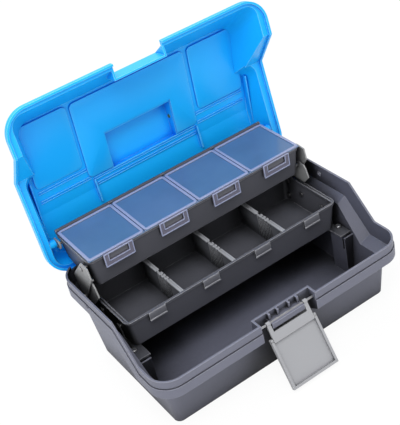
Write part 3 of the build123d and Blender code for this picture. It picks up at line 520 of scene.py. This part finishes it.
left_pad = pad("lid_pad_left", left_pad_x, left_pad_z)
right_pad = pad("lid_pad_right", right_pad_x, right_pad_z)
middle_pad = pad("lid_pad_middle", middle_pad_x, middle_pad_z)
cut_away(middle_pad, block("hump_gap", (-hump_half, ceiling_y - cut_past_pad, hump_low_z),
                           (hump_half, ceiling_y + cut_past_pad, hump_high_z)))
for raised in (left_pad, right_pad, middle_pad):
    soften(raised, pad_rounding)
    dress(raised, lid_plastic, "lid")
ribs = []
for spans, levels in ((outer_rib_spans, outer_rib_levels), ((middle_rib_span,), middle_rib_levels)):
    for low_x, high_x in spans:
        for rib_z in levels:
            for offset in (0.0, flat_rib_step):
                ribs.append(block("rib", (low_x, ceiling_y - flat_rib_height, rib_z + offset),
                                  (high_x, ceiling_y, rib_z + offset + flat_rib_width)))
flat_ribs = join("lid_ceiling_ribs", ribs)
soften(flat_ribs, moulded_rounding)
dress(flat_ribs, lid_plastic, "lid")
for side, turned in (("left", -1), ("right", 1)):
    low_x, high_x = sorted((turned * side_rib_inner_x, turned * side_rib_outer_x))
    side_rib = block("lid_side_rib_" + side, (low_x, side_rib_low_y, side_rib_z[0]),
                     (high_x, ceiling_y, side_rib_z[1]), side_rib_corner, 0)
    soften(side_rib, moulded_rounding)
    dress(side_rib, lid_plastic, "lid")

# Handle on the lid. One bail moulded in dark polypropylene. Its arms turn on two pins beside the
# hump, and it lies behind the open lid.
handle_plastic = moulded_plastic("satin_polypropylene_handle", colour="3b3c42", drifted="43444a",
                                 painted_shade="101012", painted_edge_highlight="84868c", roughness=0.5, deep=0.03)
finish_nodes(["handle"], handle_plastic)

# Latch. A frame on a pin in the tub's pocket, and a flap that turns on the frame. Both are light
# grey polypropylene. The flap is a plate with a raised rim along its foot and both sides.
latch_plastic = moulded_plastic("satin_polypropylene_silver_grey", colour="949599", drifted="9b9ca0",
                                painted_shade="4a4b4f", painted_edge_highlight="b2b3b6", roughness=0.45, deep=0.012)
finish_nodes(["latch_frame", "latch_flap"], latch_plastic)

# Studio. A white paper floor that the camera sees almost pure white, a soft white surround, one
# wide soft lamp above the front left and a second one behind the lid.
floor_size = 8.0
floor_seen_white = 0.92
surround_level = 0.76
white = (1.0, 1.0, 1.0, 1.0)
bpy.ops.mesh.primitive_plane_add(size=floor_size, location=(0.0, 0.0, 0.0))
floor = bpy.context.object
floor.name = "studio_floor"
floor_paper = bpy.data.materials.new("white_backdrop_paper")
floor_paper.use_nodes = True
tree = floor_paper.node_tree
paper = tree.nodes["Principled BSDF"]
paper.inputs["Base Color"].default_value = linear("f4f4f4")
paper.inputs["Roughness"].default_value = 0.9
paper.inputs["Specular IOR Level"].default_value = 0.0
path = add(tree, "ShaderNodeLightPath", {}, {})
glow = add(tree, "ShaderNodeEmission", {}, {"Color": white, "Strength": 1.0})
seen = add(tree, "ShaderNodeMath", {"operation": "MULTIPLY"},
           {0: path.outputs["Is Camera Ray"], 1: floor_seen_white})
mixed = add(tree, "ShaderNodeMixShader", {}, {0: seen.outputs[0], 1: paper.outputs[0], 2: glow.outputs[0]})
tree.links.new(mixed.outputs[0], tree.nodes["Material Output"].inputs["Surface"])
floor.data.materials.append(floor_paper)

world = bpy.data.worlds.new("soft_white_surround")
world.use_nodes = True
bpy.context.scene.world = world
world_tree = world.node_tree
surround = world_tree.nodes["Background"]
surround.inputs["Color"].default_value = white
world_path = add(world_tree, "ShaderNodeLightPath", {}, {})
level = add(world_tree, "ShaderNodeMapRange", {},
            {"Value": world_path.outputs["Is Camera Ray"], "To Min": surround_level, "To Max": 1.0})
world_tree.links.new(level.outputs["Result"], surround.inputs["Strength"])


def softbox(name, place, aim, energy, size):
    """A square soft lamp that looks at a point."""
    bpy.ops.object.light_add(type="AREA", location=place)
    lamp = bpy.context.object
    lamp.name = name
    lamp.data.energy = energy
    lamp.data.size = size
    lamp.rotation_euler = (Vector(aim) - lamp.location).to_track_quat("-Z", "Y").to_euler()


softbox("overhead_softbox", place=(-0.5, -0.6, 1.6), aim=(0.0, 0.0, 0.1), energy=20.0, size=1.0)
softbox("rear_softbox", place=(0.2, 1.1, 1.5), aim=(0.0, 0.1, 0.2), energy=12.0, size=1.2)

# Camera, fitted to the object's edges of known length. The picture is rolled, so that upright
# edges lean to the left.
camera_place = (-0.4443, -0.8174, 0.8317)
camera_heading = 27.09
camera_drop = 35.31
camera_roll = 12.85
focal_pixels = 995.3
picture_width = 400
sensor_width = 36.0
bpy.ops.object.camera_add(location=camera_place)
camera = bpy.context.object
camera.name = "studio_camera"
turn = Euler((0.0, 0.0, -math.radians(camera_heading))).to_matrix()
turn = turn @ Euler((math.radians(90.0 - camera_drop), 0.0, 0.0)).to_matrix()
turn = turn @ Euler((0.0, 0.0, -math.radians(camera_roll))).to_matrix()
camera.rotation_euler = turn.to_euler()
camera.data.sensor_fit = "HORIZONTAL"
camera.data.sensor_width = sensor_width
camera.data.lens = sensor_width * focal_pixels / picture_width
camera.data.clip_end = 20.0
bpy.context.scene.camera = camera
bpy.context.scene.view_settings.view_transform = "Standard"
